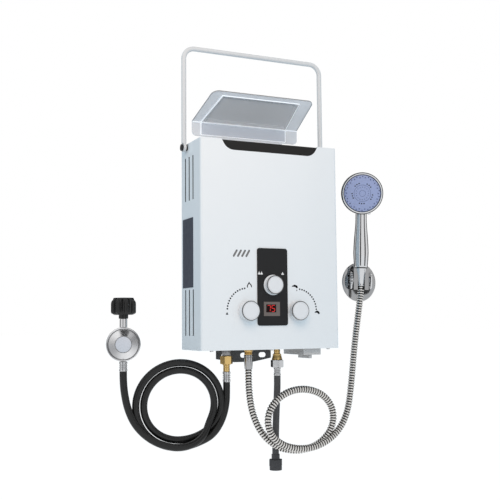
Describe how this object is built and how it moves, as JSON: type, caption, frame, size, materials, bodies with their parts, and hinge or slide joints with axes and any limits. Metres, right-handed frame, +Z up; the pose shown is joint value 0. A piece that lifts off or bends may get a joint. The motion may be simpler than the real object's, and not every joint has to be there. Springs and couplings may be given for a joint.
{
  "type": "portable propane water heater",
  "caption": "Wall-hung portable gas water heater with a carry handle, rain cap, control knobs, coiled gas hose with regulator, inlet hose and shower handset on a hose.",
  "frame": {"origin": "centre of the keyhole in the back plate, on the plane of the wall", "axes": "+X to the right seen from the front, +Y into the wall, +Z up; the front panel faces -Y"},
  "size_m": [0.6058, 0.121, 0.8278],
  "materials": {
    "white_enamel": "satin white enamel",
    "black_enamel": "satin black enamel",
    "panel_black": "matt black",
    "bezel_grey": "satin brown grey",
    "display_window": "smoked window with red digits",
    "galvanised_steel": "zinc coated sheet",
    "slate_paint": "satin dark grey",
    "slate_plate": "satin dark slate",
    "copper": "bare copper",
    "burner_steel": "stamped stainless steel",
    "cast_aluminium": "die cast",
    "brass": "machined brass",
    "dark_plastic": "fine matt",
    "knob_white": "glossy white with a bright rim",
    "ceramic_white": "glazed ceramic",
    "grey_plastic": "fine matt grey",
    "cell_can": "plain can",
    "black_screw": "black oxide",
    "bright_screw": "zinc plated",
    "cap_grey": "bluish grey metallic",
    "crimp_steel": "bright plated",
    "black_rubber": "smooth black",
    "chrome": "bright plated",
    "hose_strip": "interlocked bright strip",
    "chrome_plastic": "chrome plated plastic, mirror bright",
    "nut_black": "moulded black",
    "braided_grey": "dark braid",
    "spray_blue": "blue violet"
  },
  "bodies": {
    "heater": {"front_cover": "white_enamel", "flue_hood": "black_enamel", "control_panel": "panel_black", "display_bezel": "bezel_grey", "display_module": "display_window", "back_plate": "galvanised_steel", "bottom_panel": "galvanised_steel", "wall_bracket": "slate_paint", "rating_plate": "slate_plate", "fin_block": "copper", "combustion_chamber": "galvanised_steel", "coil_pipe": "copper", "burner": "burner_steel", "gas_manifold": "cast_aluminium", "gas_valve": "cast_aluminium", "water_valve": "brass", "season_switch": "dark_plastic", "igniter_box": "dark_plastic", "ignition_electrodes": "ceramic_white", "battery_box": "grey_plastic", "batteries": "cell_can", "handle_screws": "black_screw", "rain_cap": "cap_grey", "panel_screws": "bright_screw", "gas_inlet_pipe": "cast_aluminium", "gas_hose_nut": "brass", "gas_hose_ferrules": "crimp_steel", "gas_hose_drop": "black_rubber", "gas_hose_coil": "black_rubber", "gas_hose_lead": "black_rubber", "regulator_cover": "cast_aluminium", "regulator_body": "cast_aluminium", "regulator_stem": "chrome", "hot_outlet": "brass", "shower_hose_nut": "crimp_steel", "shower_hose": "hose_strip", "cold_inlet": "brass", "cold_hose_nut": "crimp_steel", "cold_hose_crimp": "crimp_steel", "cold_hose": "braided_grey", "shower_bracket": "chrome_plastic"},
    "gas_knob": {"gas_knob": "knob_white", "gas_spindle": "burner_steel"},
    "water_knob": {"water_knob": "knob_white", "water_spindle": "burner_steel"},
    "season_knob": {"season_knob": "knob_white", "season_spindle": "burner_steel"},
    "battery_lid": {"battery_lid": "grey_plastic"},
    "carry_handle": {"carry_handle": "white_enamel"},
    "tank_nut": {"tank_nut": "nut_black"},
    "hose_coupling": {"hose_coupling": "dark_plastic"},
    "cradle": {"cradle": "chrome_plastic", "ratchet_discs": "chrome_plastic"},
    "handset": {"handset_body": "chrome_plastic", "handset_nut": "chrome_plastic"},
    "spray_selector": {"spray_plate": "spray_blue", "selector_ring": "chrome_plastic"}
  },
  "joints": [
    {"name": "gas_knob_turn", "type": "hinge", "parent": "heater", "child": "gas_knob", "pos_m": [-0.052, -0.104, -0.294], "axis": [0, -1, 0], "range_deg": [-90, 0]},
    {"name": "water_knob_turn", "type": "hinge", "parent": "heater", "child": "water_knob", "pos_m": [0.052, -0.104, -0.294], "axis": [0, -1, 0], "range_deg": [-90, 0]},
    {"name": "season_knob_turn", "type": "hinge", "parent": "heater", "child": "season_knob", "pos_m": [0, -0.104, -0.245], "axis": [0, -1, 0], "range_deg": [-45, 45]},
    {"name": "battery_lid_swing", "type": "hinge", "parent": "heater", "child": "battery_lid", "pos_m": [0.092, -0.0092, -0.3761], "axis": [1, 0, 0], "range_deg": [0, 90]},
    {"name": "carry_handle_swing", "type": "hinge", "parent": "heater", "child": "carry_handle", "pos_m": [0, -0.029, 0.023], "axis": [1, 0, 0], "range_deg": [-165, 155]},
    {"name": "tank_nut_spin", "type": "hinge", "parent": "heater", "child": "tank_nut", "pos_m": [-0.276, -0.05, -0.28], "axis": [0, 0, 1], "continuous": true},
    {"name": "coupling_spin", "type": "hinge", "parent": "heater", "child": "hose_coupling", "pos_m": [0.0296, -0.05, -0.585], "axis": [0, 0, 1], "continuous": true},
    {"name": "bracket_tilt", "type": "hinge", "parent": "heater", "child": "cradle", "pos_m": [0.24099, -0.03446, -0.2295], "axis": [0.906, -0.4225, -0.0244], "range_deg": [0, 45], "deforming": ["shower_hose"]},
    {"name": "handset_lift", "type": "slide", "parent": "cradle", "child": "handset", "axis": [0.0221, -0.0103, 0.9997], "range_m": [0, 0.024]},
    {"name": "spray_select", "type": "hinge", "parent": "handset", "child": "spray_selector", "pos_m": [0.23825, -0.05084, -0.04756], "axis": [-0.4216, -0.8961, -0.1391], "range_deg": [0, 90]}
  ]
}
